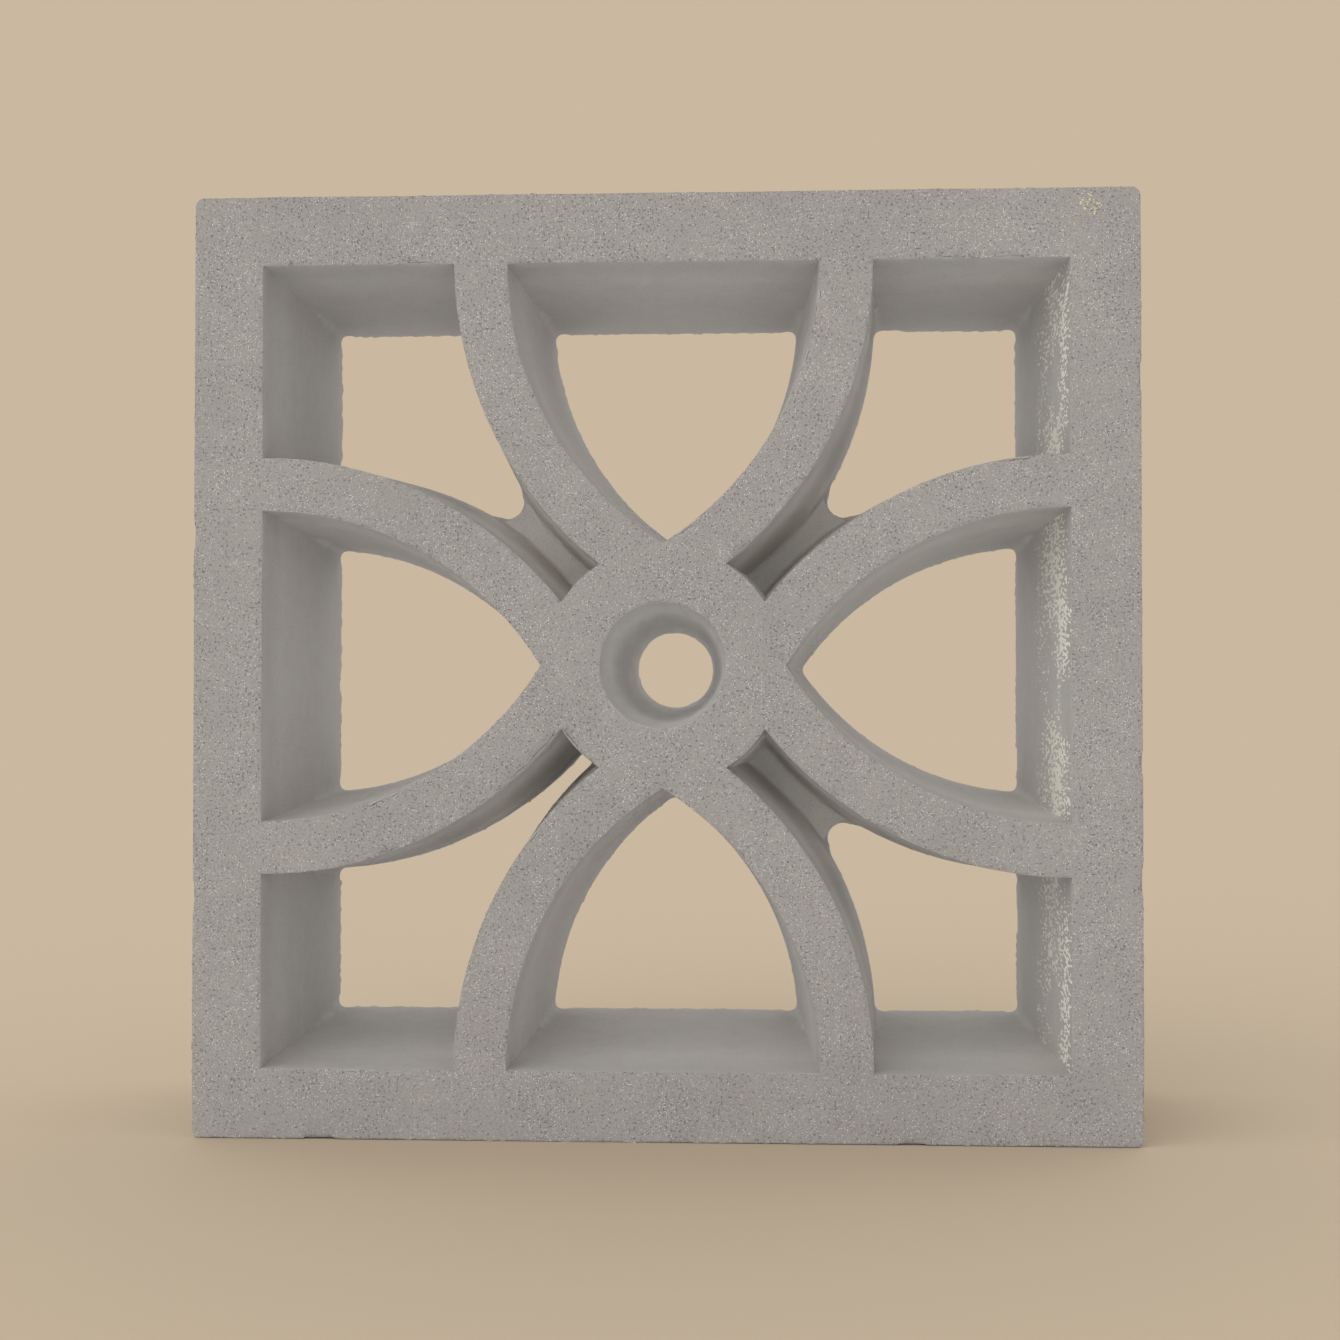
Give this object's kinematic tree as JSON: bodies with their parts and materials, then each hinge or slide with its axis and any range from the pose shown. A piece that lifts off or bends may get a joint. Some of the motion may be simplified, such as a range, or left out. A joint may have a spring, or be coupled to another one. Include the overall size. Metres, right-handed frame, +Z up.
{
  "type": "decorative screen block",
  "caption": "Square cast concrete screen block: curved ribs run from the frame to a pierced round hub and leave petal and corner openings for light and air.",
  "frame": {"origin": "middle of the bottom bed face, where the block stands", "axes": "+X along the wall, +Y through the wall towards the back face, +Z up"},
  "size_m": [0.29, 0.09, 0.29],
  "materials": {
    "concrete": "dry-cast, fine sandy grain, matt"
  },
  "bodies": {
    "root": {"screen_block": "concrete"}
  },
  "joints": []
}
